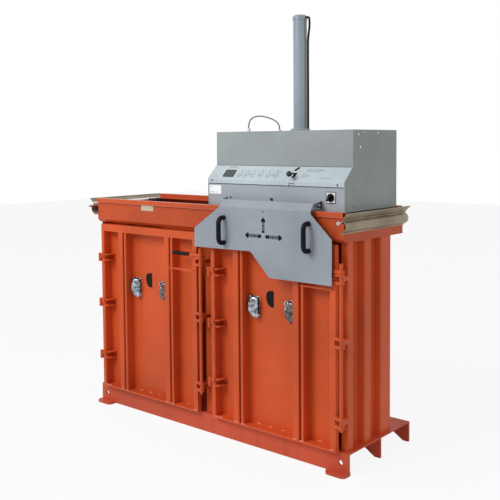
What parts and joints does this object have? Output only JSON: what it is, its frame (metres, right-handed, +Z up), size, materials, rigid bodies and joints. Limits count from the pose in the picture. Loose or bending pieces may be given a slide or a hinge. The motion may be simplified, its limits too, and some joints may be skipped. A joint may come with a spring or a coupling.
{
  "type": "recycling baler",
  "caption": "Two-chamber top-loading recycling baler: a press head with a cylinder slides along the hopper rim between two chambers with latched front doors.",
  "frame": {"origin": "centre of the footprint, on the floor", "axes": "+X to the right along the two chambers, +Y to the back, +Z up"},
  "size_m": [1.664, 0.626, 2.002],
  "materials": {
    "orange_paint": "satin",
    "base_paint": "satin",
    "apron_steel": "satin",
    "dark_steel": "matte",
    "bare_steel": "satin",
    "chrome": "polished",
    "black_plastic": "matte",
    "gloss_black": "gloss",
    "head_paint": "satin",
    "panel_paint": "satin",
    "guard_paint": "satin",
    "mast_paint": "satin",
    "plate_blank": "satin",
    "cable_rubber": "matte",
    "white_plastic": "satin",
    "roller_nylon": "matte"
  },
  "bodies": {
    "frame": {"base_plate": "base_paint", "front_beam": "base_paint", "base_beams": "base_paint", "left_wall": "orange_paint", "right_wall": "orange_paint", "back_wall": "orange_paint", "centre_wall": "orange_paint", "side_posts": "orange_paint", "hopper": "orange_paint", "hopper_rims": "orange_paint", "head_rails": "orange_paint", "end_stop": "dark_steel", "aprons": "apron_steel", "apron_rods": "bare_steel", "rim_plate": "plate_blank", "hinge_eyes": "orange_paint", "latch_keepers": "orange_paint"},
    "head": {"head_cover": "head_paint", "control_panel": "panel_paint", "lower_cover": "panel_paint", "display": "gloss_black", "lever_socket": "black_plastic", "switch_plate": "white_plastic", "label_plate": "plate_blank", "head_bolts": "dark_steel", "head_frame": "head_paint", "cylinder_tube": "mast_paint", "mast_pipe": "black_plastic", "cable_glands": "white_plastic", "cable": "cable_rubber", "guard_pin_rod": "bare_steel"},
    "guard": {"guard_plate": "guard_paint", "guard_handles": "black_plastic"},
    "ram": {"piston_rod": "chrome", "press_plate": "dark_steel"},
    "control_lever": {"operating_lever": "gloss_black"},
    "selector": {"selector_knob": "black_plastic"},
    "left_roller_pair": {"left_rollers": "roller_nylon"},
    "right_roller_pair": {"right_rollers": "roller_nylon"},
    "left_door": {"left_door_frame": "orange_paint", "left_door_panels": "orange_paint", "left_hinge_straps": "orange_paint", "left_latch_brackets": "orange_paint", "left_window": "black_plastic", "left_buckles": "chrome"},
    "left_latch": {"left_latch_rod": "orange_paint", "left_latch_grip": "black_plastic"},
    "left_ratchet_1": {"left_buckle_lever_1": "chrome"},
    "left_ratchet_2": {"left_buckle_lever_2": "chrome"},
    "right_door": {"right_door_frame": "orange_paint", "right_door_panels": "orange_paint", "right_hinge_straps": "orange_paint", "right_latch_brackets": "orange_paint", "right_window": "black_plastic", "right_buckles": "chrome"},
    "right_latch": {"right_latch_rod": "orange_paint", "right_latch_grip": "black_plastic"},
    "right_ratchet_1": {"right_buckle_lever_1": "chrome"},
    "right_ratchet_2": {"right_buckle_lever_2": "chrome"}
  },
  "joints": [
    {"name": "head_slide", "type": "slide", "parent": "frame", "child": "head", "axis": [1, 0, 0], "range_m": [-0.782, 0]},
    {"name": "guard_lift", "type": "hinge", "parent": "head", "child": "guard", "pos_m": [0.39, -0.221, 1.146], "axis": [-1, 0, 0], "range_deg": [0, 100]},
    {"name": "ram_stroke", "type": "slide", "parent": "head", "child": "ram", "axis": [0, 0, -1], "range_m": [0, 0.7]},
    {"name": "control_lever_tilt", "type": "hinge", "parent": "head", "child": "control_lever", "pos_m": [0.497, -0.17713, 1.27663], "axis": [1, 0, 0], "range_deg": [-15, 15], "stiffness_Nm_per_rad": 0.6},
    {"name": "selector_turn", "type": "hinge", "parent": "head", "child": "selector", "pos_m": [0.711, -0.202, 1.179], "axis": [0, -1, 0], "range_deg": [0, 90]},
    {"name": "left_roller_spin", "type": "hinge", "parent": "head", "child": "left_roller_pair", "pos_m": [0.06, 0.022, 1.1203], "axis": [0, 1, 0], "continuous": true},
    {"name": "right_roller_spin", "type": "hinge", "parent": "head", "child": "right_roller_pair", "pos_m": [0.721, 0.022, 1.1203], "axis": [0, 1, 0], "continuous": true},
    {"name": "left_door_hinge", "type": "hinge", "parent": "frame", "child": "left_door", "pos_m": [-0.77, -0.238, 0.557], "axis": [0, 0, -1], "range_deg": [0, 105]},
    {"name": "left_latch_turn", "type": "hinge", "parent": "left_door", "child": "left_latch", "pos_m": [-0.012, -0.245, 0.576], "axis": [0, 0, 1], "range_deg": [0, 120]},
    {"name": "left_ratchet_1_lever", "type": "hinge", "parent": "left_door", "child": "left_ratchet_1", "pos_m": [-0.527, -0.208, 0.693], "axis": [-1, 0, 0], "range_deg": [0, 120]},
    {"name": "left_ratchet_2_lever", "type": "hinge", "parent": "left_door", "child": "left_ratchet_2", "pos_m": [-0.312, -0.208, 0.693], "axis": [-1, 0, 0], "range_deg": [0, 120]},
    {"name": "right_door_hinge", "type": "hinge", "parent": "frame", "child": "right_door", "pos_m": [0.038, -0.238, 0.557], "axis": [0, 0, -1], "range_deg": [0, 105]},
    {"name": "right_latch_turn", "type": "hinge", "parent": "right_door", "child": "right_latch", "pos_m": [0.796, -0.245, 0.576], "axis": [0, 0, 1], "range_deg": [0, 120]},
    {"name": "right_ratchet_1_lever", "type": "hinge", "parent": "right_door", "child": "right_ratchet_1", "pos_m": [0.281, -0.208, 0.693], "axis": [-1, 0, 0], "range_deg": [0, 120]},
    {"name": "right_ratchet_2_lever", "type": "hinge", "parent": "right_door", "child": "right_ratchet_2", "pos_m": [0.496, -0.208, 0.693], "axis": [-1, 0, 0], "range_deg": [0, 120]}
  ],
  "couplings": [
    {"joint": "left_roller_spin", "follows": "head_slide", "rad_per_m": 50},
    {"joint": "right_roller_spin", "follows": "head_slide", "rad_per_m": 50},
    {"joint": "right_door_hinge", "follows": "guard_lift", "ratio": 0.25},
    {"joint": "right_latch_turn", "follows": "guard_lift", "ratio": 0.5}
  ]
}
